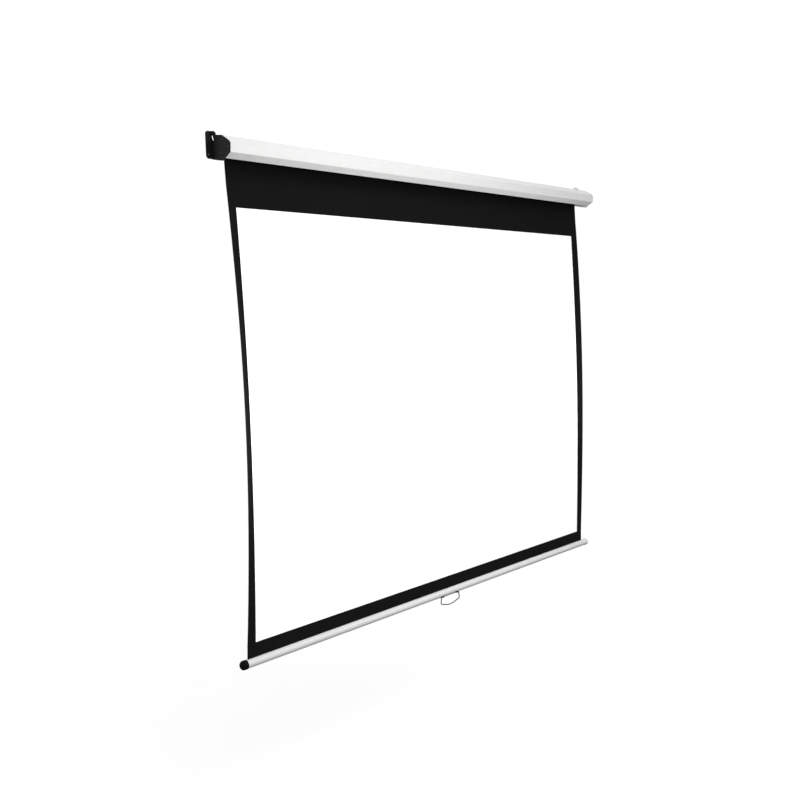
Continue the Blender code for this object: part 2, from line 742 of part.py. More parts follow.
def ratchet_outline():
    """Wheel with two notches: an abrupt step that stops the winding and a ramp behind it."""
    ramp_start, ramp_end = RATCHET_RAMP
    axis = (ROLLER_AXIS_Y, ROLLER_AXIS_Z)
    points = []
    for half in (0, math.pi):
        round_start = RATCHET_STEP - math.pi + half
        points += arc_points(axis, RATCHET_RADIUS, round_start, ramp_start + half, 12)
        for share in (0.25, 0.5, 0.75, 1.0):
            radius = RATCHET_RADIUS + (RATCHET_ROOT - RATCHET_RADIUS) * share
            angle = ramp_start + (ramp_end - ramp_start) * share + half
            points.append((axis[0] + radius * math.cos(angle), axis[1] + radius * math.sin(angle)))
        points += arc_points(axis, RATCHET_ROOT, ramp_end + half, RATCHET_STEP + half, 3)[1:]
    return points


def rod_profile(radius, low, high):
    """Profile of a plain round rod."""
    return [(0, high), (radius, high), (radius, low), (0, low)]


def slot_outline(clearance):
    """Rectangular outline round the flat blade of the spindle."""
    half_y = BLADE_WALL / 2 + clearance
    half_z = BLADE_HEIGHT / 2 + clearance
    corners = ((-half_y, -half_z), (half_y, -half_z), (half_y, half_z), (-half_y, half_z))
    return [(ROLLER_AXIS_Y + y, ROLLER_AXIS_Z + z) for y, z in corners]


def make_spring_motor():
    """Fixed spindle with its blade, ratchet wheel, socket, spring anchor and spring."""
    centre = (0, ROLLER_AXIS_Y, ROLLER_AXIS_Z)
    rod_end = FLANGE_X - GAP
    rod = rod_profile(SPINDLE_RADIUS, SPINDLE_INNER_X, rod_end)
    spindle = turned("spindle", rod, centre, ALONG_X, "zinc_steel", segments=24)
    blade_start = rod_end - BLADE_ROOT
    blade_middle = ((blade_start + BLADE_END_X) / 2, ROLLER_AXIS_Y, ROLLER_AXIS_Z)
    blade_size = (BLADE_END_X - blade_start, BLADE_WALL, BLADE_HEIGHT)
    join(spindle, block("spindle_blade", blade_middle, blade_size, "zinc_steel"))
    bake(spindle)
    outlines = [ratchet_outline(), slot_outline(GAP)]
    side_plate("ratchet_wheel", outlines, PAWL_X, PAWL_X + PAWL_WALL, "zinc_steel")
    make_socket()
    anchor_end = ANCHOR_FACE_X + ANCHOR_LENGTH
    bore = SPINDLE_RADIUS + GAP
    bake(tube("spring_anchor_plug", bore, ANCHOR_RADIUS, ANCHOR_FACE_X, anchor_end, "black_plastic"))
    make_spring()


def socket_eyes():
    """Holes for the socket's two screws."""
    spots = [(ROLLER_AXIS_Y, ROLLER_AXIS_Z + s * SOCKET_SCREW_SPOT) for s in (1, -1)]
    return [circle_points(SCREW_HOLE, 16, spot) for spot in spots]


def make_socket():
    """Oblong base with a slotted boss that keeps the blade from turning, and its two screws."""
    base_outer = BRACKET_INNER_X - GAP
    base_inner = base_outer - SOCKET_BASE
    y, z = ROLLER_AXIS_Y, ROLLER_AXIS_Z
    end_radius = SOCKET_BASE_HALF - SOCKET_SCREW_SPOT
    top = arc_points((y, z + SOCKET_SCREW_SPOT), end_radius, 0, math.pi, 8)
    low = arc_points((y, z - SOCKET_SCREW_SPOT), end_radius, math.pi, 2 * math.pi, 8)
    base = side_plate("spindle_socket", [top + low, *socket_eyes()], base_inner, base_outer, "zinc_steel")
    boss = rod_profile(SOCKET_BOSS_RADIUS, SOCKET_INNER_X, base_outer - SOCKET_BASE / 2)
    join(base, turned("socket_boss", boss, (0, y, z), ALONG_X, "zinc_steel"))
    cut_start, cut_end = SOCKET_INNER_X - CUT_MARGIN, base_outer + CUT_MARGIN
    cut(base, side_plate("socket_slot", [slot_outline(GAP)], cut_start, cut_end, "zinc_steel"))
    bake(base)
    for index, s in enumerate((1, -1), 1):
        spot = (y, z + s * SOCKET_SCREW_SPOT)
        screw(f"socket_screw_{index}", BRACKET_OUTER_X + SCREW_TIP, base_inner - GAP, spot, -1)


def make_spring():
    """Open torsion spring round the spindle, with a straight leg at each end."""
    near = ANCHOR_FACE_X - GAP
    far = DRIVE_FACE_X + GAP
    leg = 2 * SPRING_WIRE
    run = near - far - 2 * leg
    total = SPRING_CURLS * SPRING_POINTS
    points = [(near, 0.0, SPRING_RADIUS)]
    for index in range(total + 1):
        angle = 2 * math.pi * index / SPRING_POINTS
        x = near - leg - run * index / total
        points.append((x, SPRING_RADIUS * math.sin(angle), SPRING_RADIUS * math.cos(angle)))
    points.append((far, 0.0, SPRING_RADIUS))
    gap = run / SPRING_CURLS - 2 * SPRING_WIRE
    print("least gap between spring curls, mm:", round(gap * 1000, 2))
    axis = (0, ROLLER_AXIS_Y, ROLLER_AXIS_Z)
    return wire("torsion_spring", points, SPRING_WIRE, axis, "spring_steel", 1)


def bow_at(z):
    """How far the hanging fabric bows forward at a height."""
    share = (BOW_TOP_Z - z) / (BOW_TOP_Z - BOW_LOW_Z)
    if share <= 0 or share >= 1:
        return 0.0
    return BOW * math.sin(math.pi * share) ** 1.15


def curl_at(z, side):
    """Angle that a side border of the fabric curls forward at a height."""
    share = (ROLLER_AXIS_Z - z) / (ROLLER_AXIS_Z - FABRIC_LOW_Z)
    share = max(0.0, min(1.0, share))
    if side < 0:
        return LEFT_CURL * math.sin(math.pi * share) ** 0.7
    return RIGHT_CURL * math.sin(math.pi * share) ** 0.7


def make_fabric():
    """Hanging fabric: a thin grid with a slight forward bow and borders that curl forward."""
    bm = bmesh.new()
    bmesh.ops.create_grid(bm, x_segments=FABRIC_COLUMNS, y_segments=FABRIC_ROWS, size=1.0)
    start = FABRIC_HALF - CURL_WIDTH
    for vert in bm.verts:
        side = -1 if vert.co.x < 0 else 1
        along = FABRIC_HALF * (1 - (1 - abs(vert.co.x)) ** 2)
        z = FABRIC_LOW_Z + (ROLLER_AXIS_Z - FABRIC_LOW_Z) * (vert.co.y + 1) / 2
        forward = bow_at(z)
        curl = curl_at(z, side)
        past = along - start
        if past > 0 and curl > 0:
            angle = curl * past / CURL_WIDTH
            radius = CURL_WIDTH / curl
            along = start + radius * math.sin(angle)
            forward += radius * (1 - math.cos(angle))
        vert.co = (side * along, FABRIC_Y - forward, z)
    mesh = bpy.data.meshes.new("screen_fabric")
    bm.to_mesh(mesh)
    bm.free()
    fabric = add_part("screen_fabric", mesh, "screen_cloth")
    step = fabric.modifiers.new("cloth", "SOLIDIFY")
    step.thickness = FABRIC_WALL
    step.offset = 0
    return bake(fabric)


def bar_ring():
    """Open round path of the bar's wall, split by the fabric slot on top."""
    slot = math.asin(BAR_SLOT_HALF / BAR_RADIUS)
    start = math.pi / 2 + slot
    return arc_points((FABRIC_Y, BAR_DOWN_Z), BAR_RADIUS, start, start + 2 * math.pi - 2 * slot, 48)


def bar_cap_profile():
    """Sleeve over the end of the bar, closed by a dome."""
    sleeve = BAR_RADIUS + GAP
    outer = sleeve + BAR_CAP_WALL
    turns = [math.pi / 2 * (1 - index / 8) for index in range(1, 9)]
    dome = [(outer * math.cos(a), BAR_HALF + BAR_CAP_DOME * math.sin(a)) for a in turns]
    return [
        (0, BAR_HALF + BAR_CAP_DOME),
        *dome,
        (outer, BAR_HALF - BAR_CAP_SLEEVE),
        (sleeve, BAR_HALF - BAR_CAP_SLEEVE),
        (sleeve, BAR_HALF),
        (0, BAR_HALF),
    ]


def make_bar():
    """Slotted tube with its end caps and the rod in the fabric's hem."""
    low, high = BAR_SHIFT - BAR_HALF + GAP, BAR_SHIFT + BAR_HALF - GAP
    bar = folded_sheet("weight_bar", bar_ring(), low, high, BAR_WALL, -1, "bar_paint")
    for index, x in enumerate((-RIVET_SPOT, RIVET_SPOT), 1):
        cut(bar, rivet_drill(f"bar_rivet_hole_{index}", x))
    bake(bar)
    cap = bar_cap_profile()
    centre = (BAR_SHIFT, FABRIC_Y, BAR_DOWN_Z)
    left = bake(turned("left_bar_cap", cap, centre, AGAINST_X, "black_plastic"))
    right = bake(turned("right_bar_cap", cap, centre, ALONG_X, "pale_plastic"))
    rod_place = (0, FABRIC_Y, FABRIC_LOW_Z - GAP - HEM_ROD_RADIUS)
    rod = rod_profile(HEM_ROD_RADIUS, -FABRIC_HALF, FABRIC_HALF)
    rod = bake(turned("fabric_bottom_rod", rod, rod_place, ALONG_X, "black_plastic", segments=16))
    return [bar, left, right, rod]


def radial_place(x, distance, angle):
    """Point at a distance from the bar's axis, seen from the side at an angle."""
    return (x, FABRIC_Y + distance * math.cos(angle), BAR_DOWN_Z + distance * math.sin(angle))


def rivet_drill(name, x):
    """Cutter for a rivet through the bracket strip and the bar's wall."""
    rotation = (RIVET_ANGLE - math.pi / 2, 0, 0)
    place = radial_place(x, BAR_RADIUS, RIVET_ANGLE)
    return drill(name, place, RIVET_RADIUS + GAP, 4 * (BAR_WALL + STRIP_WALL), rotation)


def make_handle_bracket():
    """Strip against the underside of the bar, rolled at its front edge into two barrel eyes."""
    centre = (FABRIC_Y, BAR_DOWN_Z)
    strip = arc_points(centre, STRIP_RADIUS, STRIP_START, PIVOT_ANGLE, 12)
    roll_start = PIVOT_ANGLE - math.pi
    roll = arc_points((PIVOT_Y, PIVOT_Z), BARREL_RADIUS, roll_start, roll_start + BARREL_TURN, 16)
    path = strip + roll[1:]
    bracket = folded_sheet("handle_bracket", path, -BARREL_HALF, BARREL_HALF, STRIP_WALL, 0, "dark_steel")
    barrel_place = (0, PIVOT_Y, PIVOT_Z)
    cut(bracket, drill("barrel_cut", barrel_place, BARREL_CUT_RADIUS, 2 * BARREL_INNER_X, ALONG_X))
    pieces = [bracket]
    for index, x in enumerate((-RIVET_SPOT, RIVET_SPOT), 1):
        cut(bracket, rivet_drill(f"strip_rivet_hole_{index}", x))
        pieces.append(make_rivet(index, x))
    bake(bracket)
    return pieces


def make_rivet(index, x):
    """Rivet whose heads lie under the strip and inside the bar."""
    outside = BAR_RADIUS + STRIP_WALL + 2 * GAP
    inside = BAR_RADIUS - BAR_WALL - 2 * GAP
    profile = [
        (0, outside + RIVET_HEAD),
        (RIVET_HEAD_RADIUS * 0.8, outside + RIVET_HEAD),
        (RIVET_HEAD_RADIUS, outside),
        (RIVET_RADIUS, outside),
        (RIVET_RADIUS, inside),
        (RIVET_HEAD_RADIUS * 0.85, inside),
        (RIVET_HEAD_RADIUS * 0.85, inside - RIVET_HEAD),
        (0, inside - RIVET_HEAD),
    ]
    rotation = (RIVET_ANGLE - math.pi / 2, 0, 0)
    centre = radial_place(x, 0, RIVET_ANGLE)
    return bake(turned(f"bracket_rivet_{index}", profile, centre, rotation, "zinc_steel", 16))


def make_handle():
    """Wire bail whose two ends turn inward into the barrel."""
    pivot_bend, low_bend, middle_bend = HANDLE_BENDS
    start, top = (-HANDLE_END_X, 0, 0), (-HANDLE_TOP_X, 0, 0)
    wide, middle = (-HANDLE_WIDE_X, 0, -HANDLE_WIDE_DROP), (0, 0, -HANDLE_DROP)
    wide_far = (HANDLE_WIDE_X, 0, -HANDLE_WIDE_DROP)
    left = [start] + corner_points(start, top, wide, pivot_bend, 5)
    left += corner_points(top, wide, middle, low_bend, 5)
    centre = corner_points(wide, middle, wide_far, middle_bend, 4)
    right = [(-x, y, z) for x, y, z in reversed(left)]
    return wire("handle", left + centre + right, WIRE_RADIUS, (0, PIVOT_Y, PIVOT_Z), "wire_steel", 3)


def main():
    """Build every piece and hang the moving ones from their joints."""
    make_case_shell()
    for label, side, finish in (("left", -1, "black_plastic"), ("right", 1, "pale_plastic")):
        make_end_cap(f"{label}_end_cap", side, finish)
        make_cap_screws(label, side)
    axis = (ROLLER_AXIS_Y, ROLLER_AXIS_Z)
    make_end_bracket("left_end_bracket", -1, [circle_points(IDLE_NECK_RADIUS + GAP, 24, axis)])
    make_end_bracket("right_end_bracket", 1, socket_eyes())
    make_idle_pin()
    make_spring_motor()
    roller = make_roller()
    roller_frame = joint_frame("roller_axis", (0, *axis))
    carry(roller_frame, roller)
    for index in (1, 2):
        pawl_frame = joint_frame(f"pawl_axis_{index}", (PAWL_X, *pawl_pin_spot(index)))
        carry(roller_frame, [pawl_frame])
        carry(pawl_frame, [make_pawl(index)])
    make_fabric()
    bar = make_bar() + make_handle_bracket()
    bar_frame = joint_frame("bar_axis", (0, FABRIC_Y, BAR_DOWN_Z))
    carry(bar_frame, bar)
    handle_frame = joint_frame("handle_axis", (0, PIVOT_Y, PIVOT_Z))
    carry(bar_frame, [handle_frame])
    carry(handle_frame, [make_handle()])


main()
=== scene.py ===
"""Looks of the pull down projector screen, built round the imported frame.

Metres, +Z up, in the frame of the CAD part: the wall is the plane Y = 0 and the front faces -Y.
"""
import math

import bmesh
import bpy
from mathutils import Matrix, Vector


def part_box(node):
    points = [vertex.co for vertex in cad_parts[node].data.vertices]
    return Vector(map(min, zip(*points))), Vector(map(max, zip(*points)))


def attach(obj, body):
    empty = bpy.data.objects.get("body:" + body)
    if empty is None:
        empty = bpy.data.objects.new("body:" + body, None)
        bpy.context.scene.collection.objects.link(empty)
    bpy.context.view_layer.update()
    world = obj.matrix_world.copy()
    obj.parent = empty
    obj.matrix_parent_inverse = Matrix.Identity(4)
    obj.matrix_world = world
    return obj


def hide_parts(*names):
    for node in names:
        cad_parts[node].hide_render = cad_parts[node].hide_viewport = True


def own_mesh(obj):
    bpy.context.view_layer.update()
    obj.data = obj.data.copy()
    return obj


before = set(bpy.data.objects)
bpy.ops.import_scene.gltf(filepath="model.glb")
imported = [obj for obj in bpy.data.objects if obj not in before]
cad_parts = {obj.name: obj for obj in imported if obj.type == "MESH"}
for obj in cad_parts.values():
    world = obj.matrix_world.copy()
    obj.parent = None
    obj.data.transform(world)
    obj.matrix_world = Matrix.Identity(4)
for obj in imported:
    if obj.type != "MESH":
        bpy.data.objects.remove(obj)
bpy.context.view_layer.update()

# Camera at the photograph's viewing angle
CAMERA_PLACE = (-2.7711, -2.5215, -0.5984)
CAMERA_YAW = math.radians(45.327)
CAMERA_PITCH = math.radians(-3.896)
CAMERA_ROLL = math.radians(-2.0)
CAMERA_LENS = 39.213
CAMERA_SENSOR = 36.0
CAMERA_SHIFT = (-0.0011, -0.0194)
CAMERA_CLIP = (0.05, 200.0)

# Sizes repeated from the CAD part
ROLLER_AXIS = (-0.043571, 0.018)
TUBE_RADIUS = 0.021446
FABRIC_Y = -0.021
FABRIC_HALF = 1.054
FABRIC_WALL = 0.00045
FABRIC_TOP_Z = 0.018
FABRIC_LOW_Z = -1.7495
BAR_TRAVEL = 1.7155
CURL_WIDTH = 0.054
SCREW_HEAD_RADIUS = 0.004
SCREW_HEAD_HEIGHT = 0.0022
SCREW_RADIUS = 0.00175
WIRE_RADIUS = 0.0022
HANDLE_CORNERS = ((0.0385, 0), (0.0565, 0), (0.0603, -0.029), (0, -0.0443))
HANDLE_BENDS = (0.0045, 0.008, 0.090)

# Finer shape of the cap screws and the wire
SCREW_STEPS = 32
SCREW_RIM = 0.45
SCREW_DOME_STEP = 15
SCREW_TIP_SHARE = 0.4
SCREW_TURN = math.radians(18)
RECESS_SIZE = (0.0042, 0.0009, 0.0026)
RECESS_RAISE = 0.0002
BEND_STEPS = 10
WIRE_RESOLUTION = 6

# The lower border rides up with the bar, and the sheet above it shortens to this much
SHEET_LEFT_OVER = 0.003
BORDER_TOP_Z = FABRIC_TOP_Z - BAR_TRAVEL - SHEET_LEFT_OVER

# Shape of the hanging sheet, fitted to its edges in the photograph; each curl goes from its top to its foot
BOW_TOP_Z = -0.104
BOW_LEFT = 0.029
BOW_RIGHT = 0.0185
BOW_POWER = 0.95
LEFT_CURL = (math.radians(42), math.radians(47))
RIGHT_CURL = (math.radians(43), math.radians(8))
CURL_POWER = 0.7
LEAST_CURL = 1e-4

# Faces across the sheet (border, curled strip of picture, middle, and back again) and up each part of it
COLUMN_COUNTS = (8, 3, 60, 3, 8)
SHEET_ROW_COUNTS = (1, 96, 16)
BORDER_ROW_COUNTS = (6,)

# White picture area inside the black border
PICTURE_HALF = 1.015
PICTURE_TOP_Z = -0.1798
PICTURE_LOW_Z = -1.6957

# Sheet turns that stay on the roller
WOUND_TURNS = 2
WOUND_WALL = 0.00042
WOUND_STEPS = 72
WOUND_START = math.radians(3)
WOUND_COLUMN_COUNTS = (4,)

# Studio: light from below and above the horizon, then name, place, target, power and size of each light
FLOOR_Z = -2.75
FLOOR_SIZE = 60.0
WORLD_FADE = (-0.18, -0.05)
WORLD_LOW = (0.03, 0.03, 0.03)
WORLD_HIGH = (1.02, 1.02, 1.02)
LIGHTS = (
    ("key", (-3.5, -4.5, -0.7), (0, 0, -0.8), 110, (2.0, 2.0)),
    ("case_front", (-0.42, -0.75, 0.4), (-0.40, -0.1, 0), 4.2, (1.5, 0.25)),
    ("case_under", (-0.1, -0.55, -1.15), (-0.1, -0.09, -0.02), 15, (2.6, 0.3)),
    ("bar_top", (0.0, -0.8, -0.95), (0.0, -0.02, -1.76), 10, (2.6, 0.3)),
)


def add(tree, kind, **values):
    """Add a node and set its sockets or properties by name."""
    made = tree.nodes.new(kind)
    for name, value in values.items():
        label = name.replace("_", " ")
        if label in made.inputs:
            made.inputs[label].default_value = value
        else:
            setattr(made, name, value)
    return made


def start_material(name, metallic, specular):
    """Material with its shader's plain numbers set."""
    made = bpy.data.materials.new(name)
    made.use_nodes = True
    shader = made.node_tree.nodes["Principled BSDF"]
    shader.inputs["Metallic"].default_value = metallic
    shader.inputs["Specular IOR Level"].default_value = specular
    return made, made.node_tree, shader


def span(tree, source, low, high):
    """Map a 0 to 1 factor to a range."""
    made = add(tree, "ShaderNodeMapRange", To_Min=low, To_Max=high)
    tree.links.new(source, made.inputs["Value"])
    return made.outputs["Result"]


def mixed(tree, source, first, last):
    """Mix two colours by a factor."""
    made = tree.nodes.new("ShaderNodeMix")
    made.data_type = "RGBA"
    made.inputs["A"].default_value = (*first, 1.0)
    made.inputs["B"].default_value = (*last, 1.0)
    tree.links.new(source, made.inputs["Factor"])
    return made.outputs["Result"]


def mottled(
    name, first, last, rough, metallic=0.0, specular=0.5,
    patch=30.0, grain=900.0, depth=0.00004, stretch=(1, 1, 1),
):
    """Painted, moulded or metal surface: patches of colour and gloss, and a fine grain in relief."""
    made, tree, shader = start_material(name, metallic, specular)
    place = tree.nodes.new("ShaderNodeTexCoord").outputs["Object"]
    scaled = add(tree, "ShaderNodeMapping", Scale=stretch)
    tree.links.new(place, scaled.inputs["Vector"])
    patches = add(tree, "ShaderNodeTexNoise", Scale=patch, Detail=4.0, Roughness=0.6)
    grains = add(tree, "ShaderNodeTexNoise", Scale=grain, Detail=2.0, Roughness=0.5)
    for noise in (patches, grains):
        tree.links.new(scaled.outputs["Vector"], noise.inputs["Vector"])
    spread = add(tree, "ShaderNodeMapRange", From_Min=0.3, From_Max=0.7)
    tree.links.new(patches.outputs["Fac"], spread.inputs["Value"])
    tree.links.new(mixed(tree, spread.outputs["Result"], first, last), shader.inputs["Base Color"])
    tree.links.new(span(tree, patches.outputs["Fac"], *rough), shader.inputs["Roughness"])
    relief = add(tree, "ShaderNodeBump", Strength=0.6, Distance=depth)
    tree.links.new(grains.outputs["Fac"], relief.inputs["Height"])
    tree.links.new(relief.outputs["Normal"], shader.inputs["Normal"])
    return made


def woven(name, first, last, rough, specular, thread, depth):
    """Coated cloth: a fine weave in relief, laid out on the flat sheet, with faint patches."""
    made, tree, shader = start_material(name, 0.0, specular)
    flat = add(tree, "ShaderNodeUVMap", uv_map="flat").outputs["UV"]
    waves = []
    for direction in ("X", "Y"):
        wave = add(tree, "ShaderNodeTexWave", Scale=2 * math.pi / 20 / thread, Distortion=0.0)
        wave.bands_direction = direction
        tree.links.new(flat, wave.inputs["Vector"])
        waves.append(wave.outputs["Fac"])
    weave = tree.nodes.new("ShaderNodeMath")
    weave.operation = "MULTIPLY"
    tree.links.new(waves[0], weave.inputs[0])
    tree.links.new(waves[1], weave.inputs[1])
    patches = add(tree, "ShaderNodeTexNoise", Scale=9.0, Detail=3.0, Roughness=0.5)
    tree.links.new(flat, patches.inputs["Vector"])
    tree.links.new(mixed(tree, patches.outputs["Fac"], first, last), shader.inputs["Base Color"])
    tree.links.new(span(tree, weave.outputs["Value"], *rough), shader.inputs["Roughness"])
    relief = add(tree, "ShaderNodeBump", Strength=0.5, Distance=depth)
    tree.links.new(weave.outputs["Value"], relief.inputs["Height"])
    tree.links.new(relief.outputs["Normal"], shader.inputs["Normal"])
    return made


MATERIALS = {
    "case_paint": mottled(
        "powder_paint", (0.585, 0.585, 0.580), (0.615, 0.615, 0.610), (0.38, 0.50),
        specular=0.3, depth=0.00006,
    ),
    "black_plastic": mottled(
        "black_moulding", (0.004, 0.004, 0.0045), (0.007, 0.007, 0.0075), (0.42, 0.60),
        specular=0.12, grain=1800.0,
    ),
    "black_rubber": mottled(
        "black_rubber", (0.002, 0.002, 0.0022), (0.004, 0.004, 0.0042), (0.60, 0.80),
        specular=0.05, grain=1800.0,
    ),
    "pale_plastic": mottled(
        "pale_moulding", (0.53, 0.53, 0.525), (0.57, 0.57, 0.565), (0.42, 0.58), specular=0.3, grain=1800.0
    ),
    "zinc_steel": mottled(
        "zinc_plate", (0.50, 0.51, 0.53), (0.66, 0.66, 0.66), (0.28, 0.48), metallic=1.0, patch=90.0
    ),
    "dark_steel": mottled(
        "blackened_steel", (0.03, 0.03, 0.033), (0.06, 0.06, 0.06), (0.32, 0.50), metallic=1.0, patch=150.0
    ),
    "spring_steel": mottled(
        "oiled_spring_steel", (0.16, 0.15, 0.14), (0.26, 0.25, 0.24), (0.25, 0.45),
        metallic=1.0, patch=200.0,
    ),
    "tube_steel": mottled(
        "drawn_tube", (0.45, 0.45, 0.46), (0.60, 0.60, 0.60), (0.30, 0.50),
        metallic=1.0, patch=60.0, stretch=(0.05, 1, 1),
    ),
    "bush_plastic": mottled("nylon", (0.66, 0.66, 0.62), (0.74, 0.73, 0.70), (0.45, 0.60)),
    "bar_paint": mottled(
        "bar_paint", (0.49, 0.49, 0.485), (0.53, 0.53, 0.525), (0.34, 0.50),
        specular=0.3, patch=120.0, depth=0.00008,
    ),
    "wire_steel": mottled(
        "blackened_wire", (0.04, 0.04, 0.043), (0.075, 0.075, 0.075), (0.25, 0.42),
        metallic=1.0, patch=150.0,
    ),
}
WHITE_CLOTH = woven(
    "white_projection_face", (0.94, 0.94, 0.94), (0.96, 0.96, 0.96), (0.80, 0.95), 0.20, 0.0008, 0.00003
)
BLACK_CLOTH = woven(
    "black_border", (0.0047, 0.0047, 0.0047), (0.0061, 0.0061, 0.0061), (0.75, 0.95), 0.03, 0.0008, 0.00004
)
BLACK_BACKING = woven(
    "black_backing", (0.004, 0.004, 0.004), (0.007, 0.007, 0.007), (0.70, 0.95), 0.05, 0.0011, 0.00006
)

NODE_FINISH = {
    "case_paint": ["case_shell"],
    "black_plastic": ["left_end_cap", "roller_left_plug", "roller_right_plug",
                      "spring_drive_plug", "spring_anchor_plug", "fabric_bottom_rod"],
    "black_rubber": ["left_bar_cap"],
    "pale_plastic": ["right_end_cap", "right_bar_cap"],
    "zinc_steel": ["left_end_bracket", "right_end_bracket", "idle_pin", "spindle_socket", "spindle",
                   "ratchet_wheel", "pawl_pin_1", "pawl_pin_2", "pawl_1", "pawl_2"],
    "dark_steel": ["handle_bracket", "bracket_rivet_1", "bracket_rivet_2",
                   "socket_screw_1", "socket_screw_2"],
    "spring_steel": ["torsion_spring"],
    "tube_steel": ["roller_tube"],
    "bush_plastic": ["left_pin_bush"],
    "bar_paint": ["weight_bar"],
}


def dress_nodes():
    """Give every CAD node that stays shown its procedural material."""
    for finish, names in NODE_FINISH.items():
        for name in names:
            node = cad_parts[name]
            node.data.materials.clear()
            node.data.materials.append(MATERIALS[finish])


def new_piece(name, bm, materials):
    """Turn a bmesh into a piece with its materials."""
    mesh = bpy.data.meshes.new(name)
    bm.to_mesh(mesh)
    bm.free()
    for material in materials:
        mesh.materials.append(material)
    piece = bpy.data.objects.new(name, mesh)
    bpy.context.scene.collection.objects.link(piece)
    return piece


def settle(piece, sharp_degrees=35):
    """Apply a piece's modifiers and shade it smooth between sharp edges."""
    depsgraph = bpy.context.evaluated_depsgraph_get()
    depsgraph.update()
    mesh = bpy.data.meshes.new_from_object(piece.evaluated_get(depsgraph))
    piece.modifiers.clear()
    piece.data = mesh
    mesh.name = piece.name
    mesh.shade_smooth()
    mesh.set_sharp_from_angle(angle=math.radians(sharp_degrees))


def divided(stops, counts):
    """Positions from the first stop to the last, with a count of steps between each two."""
    places = [stops[0]]
    for first, last, count in zip(stops, stops[1:], counts):
        places += [first + (last - first) * (index + 1) / count for index in range(count)]
    return places


def bow_at(along, z):
    """How far the hanging sheet bows forward at a place; the left side bows the most."""
    share = (BOW_TOP_Z - z) / (BOW_TOP_Z - BORDER_TOP_Z)
    if share <= 0 or share >= 1:
        return 0.0
    most = BOW_LEFT + (BOW_RIGHT - BOW_LEFT) * (along + FABRIC_HALF) / (2 * FABRIC_HALF)
    return most * math.sin(math.pi * share) ** BOW_POWER


def curl_at(z, high, low):
    """Angle that a side border has curled forward at a height."""
    share = max(0.0, min(1.0, (FABRIC_TOP_Z - z) / (FABRIC_TOP_Z - FABRIC_LOW_Z)))
    return (high + (low - high) * share) * math.sin(math.pi * share) ** CURL_POWER


def hung_point(along, z):
    """Place that a point of the flat sheet takes once it hangs."""
    side = -1 if along < 0 else 1
    reach = abs(along)
    forward = bow_at(along, z)
    curl = curl_at(z, *(LEFT_CURL if side < 0 else RIGHT_CURL))
    past = reach - (FABRIC_HALF - CURL_WIDTH)
    if past > 0 and curl > LEAST_CURL:
        radius = CURL_WIDTH / curl
        angle = curl * past / CURL_WIDTH
        reach += radius * math.sin(angle) - past
        forward += radius * (1 - math.cos(angle))
    return (side * reach, FABRIC_Y - forward, z)


def make_cloth(name, stops, counts):
    """Part of the hanging sheet, white or black in front and black behind, and its flat size."""
    curl_start = FABRIC_HALF - CURL_WIDTH
    edges = [-FABRIC_HALF, -PICTURE_HALF, -curl_start, curl_start, PICTURE_HALF, FABRIC_HALF]
    columns = divided(edges, COLUMN_COUNTS)
    rows = divided(stops, counts)
    bm = bmesh.new()
    layer = bm.loops.layers.uv.new("flat")
    grid = [[bm.verts.new(hung_point(x, z)) for x in columns] for z in rows]
    for row in range(len(rows) - 1):
        for column in range(len(columns) - 1):
            corners = ((row, column), (row, column + 1), (row + 1, column + 1), (row + 1, column))
            face = bm.faces.new([grid[r][c] for r, c in corners])
            for loop, (r, c) in zip(face.loops, corners):
                loop[layer].uv = (columns[c], rows[r])
            across = abs(columns[column] + columns[column + 1]) / 2
            height = (rows[row] + rows[row + 1]) / 2
            white = across < PICTURE_HALF and PICTURE_LOW_Z < height < PICTURE_TOP_Z
            face.material_index = 0 if white else 1
    cloth = new_piece(name, bm, [WHITE_CLOTH, BLACK_CLOTH, BLACK_BACKING])
    wall = cloth.modifiers.new("cloth", "SOLIDIFY")
    wall.thickness = FABRIC_WALL
    wall.offset = 0.0
    wall.material_offset = 2
    wall.material_offset_rim = 1
    settle(cloth)
    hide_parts("screen_fabric")
    length = sum(math.dist(hung_point(0, first), hung_point(0, last)) for first, last in zip(rows, rows[1:]))
    return cloth, (2 * FABRIC_HALF, round(length, 3))


def make_screen():
    """Hanging sheet that winds up, and its lower border, which the bar carries."""
    stops = [BORDER_TOP_Z, PICTURE_LOW_Z, PICTURE_TOP_Z, FABRIC_TOP_Z]
    screen, flat = make_cloth("projection_sheet", stops, SHEET_ROW_COUNTS)
    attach(screen, "housing")
    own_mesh(screen)
    border, flat = make_cloth("lower_border", [FABRIC_LOW_Z, BORDER_TOP_Z], BORDER_ROW_COUNTS)
    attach(border, "weight_bar")


